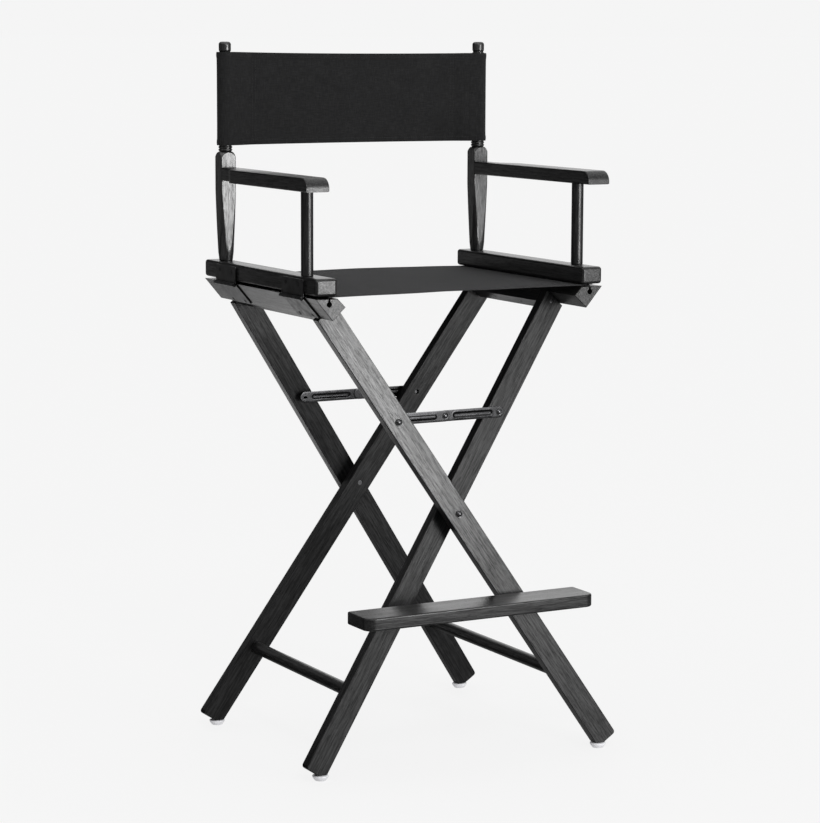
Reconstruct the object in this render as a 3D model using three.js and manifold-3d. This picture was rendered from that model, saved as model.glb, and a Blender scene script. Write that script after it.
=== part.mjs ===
// Tall folding director chair: two crossed leg frames, hinged arm frames, canvas seat and back, footrest.
// Units are millimetres. +X is the right-hand side seen from the front, +Y is the back, +Z is up.
// The origin is on the floor, below the centre of the chair's bounding box.
import * as THREE from 'three';
import { mergeVertices } from 'three/addons/utils/BufferGeometryUtils.js';
import Module from 'manifold-3d';

const wasm = await Module();
wasm.setup();

// ---------- driving dimensions ----------
const GAP = 0.3; // air left between two pieces that touch
const TOTAL_HEIGHT = 1156;

const LEG_ANGLE = THREE.MathUtils.degToRad(33.5); // lean of each leg from the vertical
const LEG_WIDTH = 39.3;
const LEG_THICKNESS = 18.8;
const PIVOT_HEIGHT = 407;
const OUTER_FRONT = 198.8; // half depth over the outer leg frame, at the pivot's height
const INNER_FRONT = 163.2; // half depth over the inner leg frame, at the pivot's height
const SPLAY = 0.09; // how far a leg runs outwards in depth for each mm down its length
const FOOT_END = 472.5; // distance from the pivot down to the perpendicular cut of the foot
const FOOT_ROUND = 6; // how far from a foot's outer corner its rounding starts
const GLIDE_HEIGHT = 9;
const GLIDE_RADIUS = 13;
const GLIDE_SOLE_RADIUS = 8.4;
const GLIDE_X = 248;
const STRETCHER_DOWN = 331; // distance from the pivot down to the stretcher
const STRETCHER_RADIUS = 10.5;

const RAIL_HALF_LENGTH = 207.5;
const UPPER_RAIL = { outer: 260.5, width: 37.8, bottom: 768.2, height: 27.8, round: 3 };
// corners of the lower rail's section, as distance from the centre plane and height
const LOWER_RAIL = {
  outer: [260.5, 764.5],
  top: [222.5, 764.5],
  inner: [208.5, 750.5],
  bottom: [231, 730],
};
const GROOVE = { x: 237, z: 756, radius: 4.6, slot: 3.4 };
const SEAT_DOWEL = { radius: 3.4, inset: 3 };
const CLEAT = { side: 19, inset: 8 };

const HINGE = { x: 264.6, z: 762.8, front: -129, rear: 119, length: 76 };
const BARREL = { radius: 3.2, pin: 1.4, overhang: 1.2 };
const LEAF = { thickness: 2, upperMargin: 3.5, lowerMargin: 2 };

const POST = { x: 240, y: 166.5, side: 26 };
const ARM = { bottom: 929, thickness: 21.7, innerFront: 234.8, outerFront: 274.2, front: -203.5, nose: 16 };
const TONGUE = { length: 36, flareEnd: 92 }; // distances from the armrest's rear end
const FRONT_POST = { x: 247, y: -150.6, radius: 9.75 };

const BACK_CANVAS = { bottom: 986.6, top: 1136.9, sleeve: 13.6, bore: 11.4, pocket: 60, thickness: 3 };
const SEAT_CANVAS = { thickness: 1.6, halfDepth: 203, bottom: 765.6, lip: 4.4 };

const BRACE_UP = 183.6; // distance from the pivot up to the brace rivets
const LINK = { width: 18, thickness: 1.5, backGap: 2.3 };
const RIVET_RADIUS = 3.5;
const RIVET_HEAD = { radius: 6, height: 2.6 };
const MIDDLE_RIVET_HEAD = { radius: 5, height: 1 };
const PIVOT_BOLT_RADIUS = 4;
const PIVOT_BOLT_HEAD = { radius: 7, height: 3.5 };
const SPACER_RADIUS = 9;
const GRIP = 14; // how deep a rivet or bolt runs into a leg

const BOARD = { top: 275, thickness: 20.5, depth: 69, halfLength: 208, centre: -8.5, round: 17, gap: 13.5 };
const FOOT_BRACKET = { width: 42, thickness: 2.5, drop: 17, setback: 16, clearance: 6 };
const FOOT_BOLT_HEAD = { radius: 5.3, height: 3 };
const PEG = { radius: 4, headRadius: 4.8, headHeight: 1.4, offset: 8, proud: 2.6 };

const DRILL_REACH = 230; // half length of a drill, past the ends of every piece

// ---------- derived places ----------
const up = { x: -Math.sin(LEG_ANGLE), z: Math.cos(LEG_ANGLE) }; // along an outer leg, towards its top
const across = { x: Math.cos(LEG_ANGLE), z: Math.sin(LEG_ANGLE) }; // across it, towards its upper edge
const LINK_LENGTH = BRACE_UP * Math.sin(LEG_ANGLE);
const SPACE = OUTER_FRONT - LEG_THICKNESS - INNER_FRONT; // room between an outer and an inner leg
const boardRear = outerFaceDepth(legDistance(BOARD.top)) + BOARD.gap;
const boardFront = boardRear + BOARD.depth;
const rearGlide = glideDepth(OUTER_FRONT) + GLIDE_RADIUS;
const SHIFT_Y = (boardFront - rearGlide) / 2; // puts the origin below the middle of the bounding box
const pegPlace = footrestPeg();

// A point on the centre line of an outer leg, a distance s above the pivot, moved t across the leg.
function legPoint(s, t = 0) {
  return { x: up.x * s + across.x * t, z: PIVOT_HEIGHT + up.z * s + across.z * t };
}

// Distance along a leg from the pivot to where its centre line reaches a height.
function legDistance(height) {
  return (height - PIVOT_HEIGHT) / Math.cos(LEG_ANGLE);
}

// Depth of the outer face of each leg frame, measured from the centre plane, at distance s above the pivot.
function outerFaceDepth(s) {
  return OUTER_FRONT - SPLAY * s;
}

function innerFaceDepth(s) {
  return INNER_FRONT - SPLAY * s;
}

// Depth of the middle of a foot, where its glide sits, for a leg frame with the given depth at the pivot.
function glideDepth(depth) {
  return depth - SPLAY * legDistance(GLIDE_HEIGHT) - LEG_THICKNESS / 2;
}

// ---------- materials ----------
function finish(color, roughness, metalness) {
  return new THREE.MeshStandardMaterial({ color, roughness, metalness });
}
const blackWood = () => finish(0x1c1c1c, 0.45, 0);
const backCloth = () => finish(0x242427, 0.9, 0);
const seatCloth = () => finish(0x333336, 0.9, 0);
const darkSteel = () => finish(0x222224, 0.35, 0.8);
const brightSteel = () => finish(0x8a8a8c, 0.3, 1);
const whiteNylon = () => finish(0xe8e8e6, 0.4, 0);

// ---------- solids ----------
function toSolid(geometry) {
  const bare = geometry.clone();
  bare.deleteAttribute('normal');
  bare.deleteAttribute('uv');
  const merged = mergeVertices(bare, 1e-3);
  return new wasm.Manifold(new wasm.Mesh({
    numProp: 3,
    vertProperties: new Float32Array(merged.attributes.position.array),
    triVerts: new Uint32Array(merged.index.array),
  }));
}

function toGeometry(solid) {
  const mesh = solid.getMesh();
  const geometry = new THREE.BufferGeometry();
  geometry.setAttribute('position', new THREE.BufferAttribute(new Float32Array(mesh.vertProperties), 3));
  geometry.setIndex(new THREE.BufferAttribute(new Uint32Array(mesh.triVerts), 1));
  geometry.computeVertexNormals();
  return geometry;
}

function cut(geometry, ...tools) {
  return toGeometry(tools.reduce((rest, tool) => rest.subtract(toSolid(tool)), toSolid(geometry)));
}

function join(first, ...others) {
  return toGeometry(others.reduce((whole, other) => whole.add(toSolid(other)), toSolid(first)));
}

function common(first, second) {
  return toGeometry(toSolid(first).intersect(toSolid(second)));
}

// ---------- shape helpers ----------
function outline(points) {
  return new THREE.Shape(points.map(([x, y]) => new THREE.Vector2(x, y)));
}

// An outline in the XZ plane, thickened evenly to both sides of y = 0, with its edges eased.
function slabXZ(shape, depth, ease = 0) {
  const geometry = new THREE.ExtrudeGeometry(shape, extrusion(depth, ease));
  geometry.translate(0, 0, ease - depth / 2);
  return geometry.rotateX(Math.PI / 2);
}

// An outline in the XY plane, raised from the height z by a thickness, with its edges eased.
function slabXY(shape, z, thickness, ease = 0, curveSegments = 6) {
  const geometry = new THREE.ExtrudeGeometry(shape, { ...extrusion(thickness, ease), curveSegments });
  return geometry.translate(0, 0, z + ease);
}

function extrusion(depth, ease) {
  return {
    depth: depth - 2 * ease,
    bevelEnabled: ease > 0,
    bevelThickness: ease,
    bevelSize: ease,
    bevelOffset: -ease,
    bevelSegments: 2,
    curveSegments: 6,
  };
}

function box(size, centre) {
  return new THREE.BoxGeometry(...size).translate(...centre);
}

// A cylinder along Y between two depths.
function rodY(radius, x, z, y0, y1, segments = 16) {
  const rod = new THREE.CylinderGeometry(radius, radius, Math.abs(y1 - y0), segments);
  return rod.translate(x, (y0 + y1) / 2, z);
}

// A drill along Y, long enough to pass right through any one piece.
function drillY(radius, x, z, segments = 16) {
  return rodY(radius, x, z, -DRILL_REACH, DRILL_REACH, segments);
}

// A cylinder along Z between two heights.
function rodZ(radius, x, y, z0, z1, segments = 20) {
  const rod = new THREE.CylinderGeometry(radius, radius, z1 - z0, segments).rotateX(Math.PI / 2);
  return rod.translate(x, y, (z0 + z1) / 2);
}

// Half section of a domed head over its shank, the head's flat side at zero.
function domeProfile(radius, height, shank, length) {
  const points = [[0, -length], [shank, -length], [shank, 0]].map(([r, z]) => new THREE.Vector2(r, z));
  const steps = 4;
  for (let i = 0; i <= steps; i += 1) {
    const turn = (Math.PI / 2) * (i / steps);
    points.push(new THREE.Vector2(radius * Math.cos(turn), height * Math.sin(turn)));
  }
  points[points.length - 1].x = 0;
  return points;
}

// Headed fastener along Y: the head's flat side at y, the shank running away from the head.
function domedFastener(x, y, z, side, { radius, height, shank, length }) {
  const lathe = new THREE.LatheGeometry(domeProfile(radius, height, shank, length), 16);
  if (side < 0) lathe.rotateX(Math.PI);
  return lathe.translate(x, y, z);
}

// The point where two lines cross, each given by a point and a direction.
function lineMeet([px, pz], [dx, dz], [qx, qz], [ex, ez]) {
  const along = ((qx - px) * ez - (qz - pz) * ex) / (dx * ez - dz * ex);
  return [px + dx * along, pz + dz * along];
}

const mirrorX = (geometry) => toGeometry(toSolid(geometry).mirror([1, 0, 0]));
const mirrorY = (geometry) => toGeometry(toSolid(geometry).mirror([0, 1, 0]));

// ---------- assembly ----------
const chair = new THREE.Group();
chair.position.y = SHIFT_Y;

function add(name, geometry, material) {
  const mesh = new THREE.Mesh(geometry, material);
  mesh.name = name;
  chair.add(mesh);
}

// Points of a rounding at a corner of an outline, starting at the given distance from the corner.
function rounded(before, corner, after, distance) {
  const middle = new THREE.Vector2(...corner);
  const towards = (point) => new THREE.Vector2(...point).sub(middle).setLength(distance).add(middle);
  const curve = new THREE.QuadraticBezierCurve(towards(before), middle, towards(after));
  return curve.getPoints(5).map((point) => [point.x, point.y]);
}

// Outline of a leg whose foot is on the right and whose top meets the left lower rail.
function legOutline() {
  const half = LEG_WIDTH / 2;
  const edge = (t) => [across.x * t, PIVOT_HEIGHT + across.z * t];
  const along = [up.x, up.z];
  const [bottom, inner] = ['bottom', 'inner'].map((key) => [-LOWER_RAIL[key][0], LOWER_RAIL[key][1]]);
  const seat = [bottom[0], bottom[1] - GAP * 1.5];
  const seatLine = [inner[0] - bottom[0], inner[1] - bottom[1]];
  const floor = [0, GLIDE_HEIGHT + GAP];
  const footCut = legPoint(-FOOT_END);
  const toe = lineMeet([footCut.x, footCut.z], [across.x, across.z], floor, [1, 0]);
  const corner = legPoint(-FOOT_END, half);
  const top = lineMeet(edge(half), along, seat, seatLine);
  return outline([
    lineMeet(edge(-half), along, floor, [1, 0]),
    toe,
    ...rounded(toe, [corner.x, corner.z], top, FOOT_ROUND),
    top,
    lineMeet(edge(-half), along, seat, seatLine),
  ]);
}

// A front leg: its outer face lies at `depth` at the pivot and runs forward towards the foot.
function frontLeg(depth) {
  const leg = slabXZ(legOutline(), LEG_THICKNESS, 1.2);
  leg.translate(0, LEG_THICKNESS / 2 - depth, 0);
  const positions = leg.attributes.position;
  for (let i = 0; i < positions.count; i += 1) {
    const distance = positions.getX(i) * up.x + (positions.getZ(i) - PIVOT_HEIGHT) * up.z;
    positions.setY(i, positions.getY(i) + SPLAY * distance);
  }
  const rivet = legPoint(BRACE_UP);
  return cut(
    leg,
    drillY(PIVOT_BOLT_RADIUS + GAP, 0, PIVOT_HEIGHT),
    drillY(RIVET_RADIUS + GAP, rivet.x, rivet.z),
  );
}

function addLegs() {
  const outer = frontLeg(OUTER_FRONT);
  const foot = legPoint(legDistance(BOARD.top - BOARD.thickness - FOOT_BRACKET.drop / 2));
  add('outer_front_leg', cut(outer, drillY(PEG.radius + GAP, foot.x, foot.z)), blackWood());
  add('outer_rear_leg', mirrorY(outer), blackWood());
  const inner = mirrorX(frontLeg(INNER_FRONT));
  add('inner_front_leg', cut(inner, drillY(PEG.radius + GAP, pegPlace.x, pegPlace.z)), blackWood());
  add('inner_rear_leg', mirrorY(inner), blackWood());
}

// Dowels low down, from leg to leg within each frame.
function addStretchers() {
  const place = legPoint(-STRETCHER_DOWN);
  const reach = (depth) => depth + SPLAY * STRETCHER_DOWN - LEG_THICKNESS - SPLAY * STRETCHER_RADIUS - GAP;
  const outerReach = reach(OUTER_FRONT);
  const innerReach = reach(INNER_FRONT);
  add('outer_stretcher', rodY(STRETCHER_RADIUS, place.x, place.z, -outerReach, outerReach), blackWood());
  add('inner_stretcher', rodY(STRETCHER_RADIUS, -place.x, place.z, -innerReach, innerReach), blackWood());
}

// Nylon button: a flat sole, a tapered side and a rounded rim against the foot.
function glide(x, y) {
  const profile = [
    [0, 0],
    [GLIDE_SOLE_RADIUS, 0],
    [GLIDE_SOLE_RADIUS + 1, 0.6],
    [GLIDE_RADIUS - 0.8, 4],
    [GLIDE_RADIUS, 5.2],
    [GLIDE_RADIUS - 0.4, GLIDE_HEIGHT],
    [0, GLIDE_HEIGHT],
  ].map(([r, z]) => new THREE.Vector2(r, z));
  return new THREE.LatheGeometry(profile, 20).rotateX(Math.PI / 2).translate(x, y, 0);
}

function addGlides() {
  add('front_right_glide', glide(GLIDE_X, -glideDepth(OUTER_FRONT)), whiteNylon());
  add('rear_right_glide', glide(GLIDE_X, glideDepth(OUTER_FRONT)), whiteNylon());
  add('front_left_glide', glide(-GLIDE_X, -glideDepth(INNER_FRONT)), whiteNylon());
  add('rear_left_glide', glide(-GLIDE_X, glideDepth(INNER_FRONT)), whiteNylon());
}

// Bolt through each crossing, headed on the outside, with a spacer between the two legs.
function addPivots() {
  const length = 2 * LEG_THICKNESS + SPACE;
  const bolt = { ...PIVOT_BOLT_HEAD, shank: PIVOT_BOLT_RADIUS, length };
  const headFace = OUTER_FRONT + SPLAY * PIVOT_BOLT_HEAD.radius + GAP;
  add('front_pivot_bolt', domedFastener(0, -headFace, PIVOT_HEIGHT, -1, bolt), brightSteel());
  add('rear_pivot_bolt', domedFastener(0, headFace, PIVOT_HEIGHT, 1, bolt), brightSteel());
  const inset = GAP + SPLAY * SPACER_RADIUS;
  const near = -OUTER_FRONT + LEG_THICKNESS + inset;
  const far = -INNER_FRONT - inset;
  const spacer = cut(
    rodY(SPACER_RADIUS, 0, PIVOT_HEIGHT, near, far),
    drillY(PIVOT_BOLT_RADIUS + GAP, 0, PIVOT_HEIGHT),
  );
  add('front_pivot_spacer', spacer, darkSteel());
  add('rear_pivot_spacer', mirrorY(spacer), darkSteel());
}

// Lower rail on the left: canted section with a keyhole groove along its top for the seat's dowel.
function lowerRail() {
  const corners = [LOWER_RAIL.outer, LOWER_RAIL.top, LOWER_RAIL.inner, LOWER_RAIL.bottom];
  const rail = slabXZ(outline(corners.map(([x, z]) => [-x, z])), 2 * RAIL_HALF_LENGTH, 1);
  const slotHeight = 20;
  const slot = box([GROOVE.slot, 2 * DRILL_REACH, slotHeight], [-GROOVE.x, 0, GROOVE.z + slotHeight / 2]);
  return cut(rail, drillY(GROOVE.radius, -GROOVE.x, GROOVE.z), slot);
}

// Square bar under a lower rail, filling the space between its two legs.
function cleat(halfLength) {
  const [bx, bz] = [-LOWER_RAIL.bottom[0], LOWER_RAIL.bottom[1]];
  const face = new THREE.Vector2(-LOWER_RAIL.inner[0] - bx, LOWER_RAIL.inner[1] - bz).normalize();
  const down = new THREE.Vector2(face.y, -face.x);
  const corner = (along, away) => [
    bx + face.x * along + down.x * (away + GAP),
    bz + face.y * along + down.y * (away + GAP),
  ];
  const { side, inset } = CLEAT;
  const far = inset + side;
  const section = outline([corner(inset, 0), corner(far, 0), corner(far, side), corner(inset, side)]);
  return slabXZ(section, 2 * halfLength, 1);
}

function addLowerRails() {
  const rail = lowerRail();
  add('left_lower_rail', rail, blackWood());
  add('right_lower_rail', mirrorX(rail), blackWood());
  const between = (depth) => depth - LEG_THICKNESS - SPLAY * legDistance(LOWER_RAIL.inner[1]) - GAP;
  add('left_cleat', cleat(between(OUTER_FRONT)), blackWood());
  add('right_cleat', mirrorX(cleat(between(INNER_FRONT))), blackWood());
  const reach = RAIL_HALF_LENGTH - SEAT_DOWEL.inset;
  const dowel = rodY(SEAT_DOWEL.radius, -GROOVE.x, GROOVE.z, -reach, reach, 12);
  add('left_seat_dowel', dowel, blackWood());
  add('right_seat_dowel', mirrorX(dowel), blackWood());
}

// Left upper rail, a bar with eased edges that the two posts of an arm frame stand on.
function upperRail() {
  const { outer, width, bottom, height } = UPPER_RAIL;
  const section = outline([
    [-outer, bottom],
    [-outer + width, bottom],
    [-outer + width, bottom + height],
    [-outer, bottom + height],
  ]);
  return slabXZ(section, 2 * RAIL_HALF_LENGTH, UPPER_RAIL.round);
}

// Back post: a square bar, turned to a taper below its block, and to beads, a dowel and a knob above it.
function backPost() {
  const railTop = UPPER_RAIL.bottom + UPPER_RAIL.height + GAP;
  const taper = [[0, railTop], [11.2, railTop], [12.8, railTop + 14], [18.4, 925]];
  const shoulder = [[18.4, 966.5], [16.2, 971.5], [14, 974.2], [12, 975.9]];
  const beads = [[9.6, 976.9], [11.2, 978.7], [11.2, 979.9], [9.6, 981.6], [11.2, 983.3], [11.2, 984.6]];
  const dowel = [[10.5, 986], [10.5, 1138], [8.8, 1139.2], [8.8, 1140.4]];
  const knob = [[9.8, 1141.6], [10.1, 1150], [8.6, 1154.4], [5, TOTAL_HEIGHT], [0, TOTAL_HEIGHT]];
  const points = [...taper, ...shoulder, ...beads, ...dowel, ...knob];
  const profile = points.map(([r, z]) => new THREE.Vector2(r, z));
  const turned = new THREE.LatheGeometry(profile, 24).rotateX(Math.PI / 2);
  const bar = box([POST.side, POST.side, TOTAL_HEIGHT], [0, 0, railTop + TOTAL_HEIGHT / 2 - GAP]);
  return common(turned, bar).translate(-POST.x, POST.y, 0);
}

// Left armrest: in plan it flares from the post's width to full width, and its top rounds over at the front.
function armrest() {
  const rear = POST.y - POST.side / 2 - GAP;
  const { bottom, thickness, innerFront, outerFront, front } = ARM;
  const inner = POST.x - POST.side / 2;
  const outer = POST.x + POST.side / 2;
  const neck = rear - TONGUE.length;
  const flareEnd = rear - TONGUE.flareEnd;
  const bend = (neck - flareEnd) / 2;
  const plan = new THREE.Shape();
  plan.moveTo(-inner, rear);
  plan.lineTo(-outer, rear);
  plan.lineTo(-outer, neck);
  plan.bezierCurveTo(-outer, neck - bend, -outerFront, flareEnd + bend, -outerFront, flareEnd);
  plan.lineTo(-outerFront, front);
  plan.lineTo(-innerFront, front);
  plan.closePath();
  return common(slabXY(plan, bottom, thickness, 2.2), armrestSide(front, rear));
}

// The armrest's outline seen from the side, thick enough to cross its whole width.
function armrestSide(front, rear) {
  const { bottom, thickness, outerFront, nose } = ARM;
  const top = bottom + thickness;
  const side = new THREE.Shape();
  side.moveTo(rear + GAP, bottom);
  side.lineTo(rear + GAP, top);
  side.lineTo(front + nose, top);
  side.absarc(front + nose, top - nose, nose, Math.PI / 2, Math.PI, false);
  side.lineTo(front, bottom);
  side.closePath();
  const slab = new THREE.ExtrudeGeometry(side, extrusion(2 * outerFront, 0));
  // the outline's first axis becomes +Y, its second +Z and the thickness runs along +X
  const turn = new THREE.Matrix4().makeBasis(
    new THREE.Vector3(0, 1, 0),
    new THREE.Vector3(0, 0, 1),
    new THREE.Vector3(1, 0, 0),
  );
  return slab.applyMatrix4(turn).translate(-1.5 * outerFront, 0, 0);
}

function addArmFrame(side, place) {
  add(`${side}_upper_rail`, place(upperRail()), blackWood());
  add(`${side}_back_post`, place(backPost()), blackWood());
  const foot = UPPER_RAIL.bottom + UPPER_RAIL.height + GAP;
  const dowel = rodZ(FRONT_POST.radius, -FRONT_POST.x, FRONT_POST.y, foot, ARM.bottom - GAP);
  add(`${side}_front_post`, place(dowel), blackWood());
  add(`${side}_armrest`, place(armrest()), blackWood());
}

// Upright plate of a left hinge, on the outer face of the upper rail.
function upperPlate(centre) {
  const { thickness, upperMargin } = LEAF;
  const top = UPPER_RAIL.bottom + UPPER_RAIL.height - upperMargin;
  const foot = HINGE.z + BARREL.radius * (2 / 3);
  const x = -UPPER_RAIL.outer - GAP - thickness / 2;
  return box([thickness, HINGE.length, top - foot], [x, centre, (top + foot) / 2]);
}

// Slanted plate of a left hinge, on the outer face of the lower rail.
function lowerPlate(centre) {
  const { thickness, lowerMargin } = LEAF;
  const [ox, oz] = [-LOWER_RAIL.outer[0], LOWER_RAIL.outer[1]];
  const slope = new THREE.Vector2(-LOWER_RAIL.bottom[0] - ox, LOWER_RAIL.bottom[1] - oz);
  const reach = slope.length() - lowerMargin;
  slope.normalize();
  const away = new THREE.Vector2(slope.y, -slope.x);
  const corner = (along, off) => [ox + slope.x * along + away.x * off, oz + slope.y * along + away.y * off];
  const far = GAP + thickness;
  const section = outline([corner(0, GAP), corner(reach, GAP), corner(reach, far), corner(0, far)]);
  return slabXZ(section, HINGE.length).translate(0, centre, 0);
}

// Butt hinge on the outside of the left rails, in three pieces: upper leaf, lower leaf and pin.
// The barrel is shared out as five knuckles, three on the lower leaf and two on the upper one.
function hingePieces(centre) {
  const { x, z, length } = HINGE;
  const { radius, pin, overhang } = BARREL;
  const start = centre - length / 2;
  const knuckle = length / 5;
  const sleeve = (index) => {
    const from = start + index * knuckle + (index ? GAP / 2 : 0);
    return rodY(radius, -x, z, from, start + (index + 1) * knuckle - GAP / 2, 12);
  };
  const room = (index) => {
    const size = radius + GAP;
    return box([2 * size, knuckle + GAP, 2 * size], [-x, start + (index + 0.5) * knuckle, z]);
  };
  const bore = drillY(pin + GAP / 2, -x, z, 12);
  const leaf = (plate, mine, others) => cut(join(cut(plate, ...others.map(room)), ...mine.map(sleeve)), bore);
  return {
    upper: leaf(upperPlate(centre), [1, 3], [0, 2, 4]),
    lower: leaf(lowerPlate(centre), [0, 2, 4], [1, 3]),
    pin: rodY(pin, -x, z, start - overhang, start + length + overhang, 12),
  };
}

function addHinges(side, place) {
  for (const [end, centre] of [['front', HINGE.front], ['rear', HINGE.rear]]) {
    const pieces = hingePieces(centre);
    add(`${side}_${end}_hinge_upper_leaf`, place(pieces.upper), darkSteel());
    add(`${side}_${end}_hinge_lower_leaf`, place(pieces.lower), darkSteel());
    add(`${side}_${end}_hinge_pin`, place(pieces.pin), darkSteel());
  }
}

// One brace link from x0 to x1 at the rivets' height: a strip with round ends.
function braceLink(x0, x1, y) {
  const z = legPoint(BRACE_UP).z;
  const radius = LINK.width / 2;
  const shape = new THREE.Shape();
  shape.absarc(x1, z, radius, -Math.PI / 2, Math.PI / 2, false);
  shape.absarc(x0, z, radius, Math.PI / 2, -Math.PI / 2, false);
  const strip = slabXZ(shape, LINK.thickness).translate(0, y, 0);
  return cut(strip, ...[x0, x1].map((x) => drillY(RIVET_RADIUS + GAP, x, z, 12)));
}

// Folding brace in the space between the outer and the inner leg: two links, three rivets.
function addBrace(end, place) {
  const z = legPoint(BRACE_UP).z;
  const rightY = -innerFaceDepth(BRACE_UP) - LINK.backGap - LINK.thickness / 2;
  const leftY = rightY - LINK.thickness - GAP;
  add(`${end}_brace_left_link`, place(braceLink(-LINK_LENGTH, 0, leftY)), darkSteel());
  add(`${end}_brace_right_link`, place(braceLink(0, LINK_LENGTH, rightY)), darkSteel());
  const rivet = (name, x, depth, head, length) => {
    const solid = domedFastener(x, -depth, z, -1, { ...head, shank: RIVET_RADIUS, length });
    add(`${end}_brace_${name}_rivet`, place(solid), brightSteel());
  };
  const legFace = outerFaceDepth(BRACE_UP) + SPLAY * RIVET_HEAD.radius + GAP;
  rivet('left', -LINK_LENGTH, legFace, RIVET_HEAD, legFace + leftY + LINK.thickness / 2);
  const linkFace = -rightY + LINK.thickness / 2 + GAP;
  rivet('right', LINK_LENGTH, linkFace, RIVET_HEAD, linkFace - innerFaceDepth(BRACE_UP) + GRIP);
  rivet('middle', 0, -leftY + LINK.thickness / 2 + GAP, MIDDLE_RIVET_HEAD, LINK.thickness + GAP);
}

// Seat canvas: a flat sheet between the rails, its hems turned down into the grooves.
function addSeatCanvas() {
  const { thickness, halfDepth, bottom, lip } = SEAT_CANVAS;
  const edge = GROOVE.x + thickness / 2;
  const inside = edge - thickness;
  const shape = outline([
    [-edge, bottom - lip],
    [-inside, bottom - lip],
    [-inside, bottom],
    [inside, bottom],
    [inside, bottom - lip],
    [edge, bottom - lip],
    [edge, bottom + thickness],
    [-edge, bottom + thickness],
  ]);
  add('seat_canvas', slabXZ(shape, 2 * halfDepth), seatCloth());
}

// Back canvas in plan: a doubled sheet whose ends open into a pocket around each post.
function addBackCanvas() {
  const { bottom, top, sleeve, bore, pocket, thickness } = BACK_CANVAS;
  const seam = POST.x + sleeve - pocket;
  const half = thickness / 2;
  const reach = POST.x - seam;
  const tangent = Math.acos((sleeve - half) / reach);
  const shape = new THREE.Shape();
  shape.moveTo(-seam, -half);
  shape.lineTo(seam, -half);
  shape.absarc(POST.x, 0, sleeve, -Math.PI + tangent, Math.PI - tangent, false);
  shape.lineTo(seam, half);
  shape.lineTo(-seam, half);
  shape.absarc(-POST.x, 0, sleeve, tangent, -tangent, false);
  shape.closePath();
  for (const x of [-POST.x, POST.x]) {
    const hole = new THREE.Path();
    hole.absarc(x, 0, bore, 0, 2 * Math.PI, true);
    shape.holes.push(hole);
  }
  const canvas = slabXY(shape, bottom, top - bottom, 0, 16).translate(0, POST.y, 0);
  add('back_canvas', canvas, backCloth());
}

// Centre of the peg on the inner front leg, just below the footrest's plate. It sits towards the leg's
// upper edge, where it stays clear of the outer front leg when the chair is folded.
function footrestPeg() {
  const plateUnderside = BOARD.top - BOARD.thickness - GAP - FOOT_BRACKET.thickness;
  const z = plateUnderside - GAP - PEG.headRadius;
  return { x: -legPoint(legDistance(z), PEG.offset).x, z };
}

function addFootrestBoard() {
  const { top, thickness, halfLength, centre, round } = BOARD;
  const [left, right] = [centre - halfLength, centre + halfLength];
  const front = -boardFront;
  const shape = new THREE.Shape();
  shape.moveTo(left, -boardRear);
  shape.lineTo(left, front + round);
  shape.absarc(left + round, front + round, round, Math.PI, 1.5 * Math.PI);
  shape.lineTo(right - round, front);
  shape.absarc(right - round, front + round, round, 1.5 * Math.PI, 2 * Math.PI);
  shape.lineTo(right, -boardRear);
  shape.closePath();
  add('footrest_board', slabXY(shape, top - thickness, thickness, 2), blackWood());
}

// Steel under the board: an angle bracket that turns on a bolt through the outer front leg,
// and a plate at the other end that comes down on a peg in the inner front leg.
function addFootrestFittings() {
  const { width, thickness, drop, setback, clearance } = FOOT_BRACKET;
  const under = BOARD.top - BOARD.thickness - GAP;
  const foremost = setback - boardFront;
  const plate = (x, rear) => box(
    [width, rear - foremost, thickness],
    [x, (rear + foremost) / 2, under - thickness / 2],
  );
  const boltZ = BOARD.top - BOARD.thickness - drop / 2;
  const boltX = legPoint(legDistance(boltZ)).x;
  const legFace = -outerFaceDepth(legDistance(boltZ));
  const leafRear = legFace - clearance;
  const leaf = box([width, thickness, drop], [boltX, leafRear - thickness / 2, under - drop / 2]);
  const bracket = cut(join(plate(boltX, leafRear), leaf), drillY(PEG.radius + GAP, boltX, boltZ));
  add('footrest_hinge_bracket', bracket, darkSteel());
  add('footrest_rest_plate', plate(pegPlace.x, -OUTER_FRONT - clearance), darkSteel());

  const boltFace = leafRear - thickness - GAP;
  const bolt = { ...FOOT_BOLT_HEAD, shank: PEG.radius, length: legFace - boltFace + GRIP };
  add('footrest_pivot_bolt', domedFastener(boltX, boltFace, boltZ, -1, bolt), brightSteel());
  const pegFace = legFace - PEG.proud;
  const pegLength = -innerFaceDepth(legDistance(pegPlace.z)) - pegFace + GRIP;
  const peg = { radius: PEG.headRadius, height: PEG.headHeight, shank: PEG.radius, length: pegLength };
  add('footrest_peg', domedFastener(pegPlace.x, pegFace, pegPlace.z, -1, peg), brightSteel());
}

const same = (geometry) => geometry;
addLegs();
addStretchers();
addGlides();
addPivots();
addLowerRails();
for (const [side, place] of [['left', same], ['right', mirrorX]]) {
  addArmFrame(side, place);
  addHinges(side, place);
}
for (const [end, place] of [['front', same], ['rear', mirrorY]]) {
  addBrace(end, place);
}
addSeatCanvas();
addBackCanvas();
addFootrestBoard();
addFootrestFittings();

export default chair;
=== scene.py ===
import math

import bmesh
import bpy
from mathutils import Matrix, Vector, noise


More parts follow.
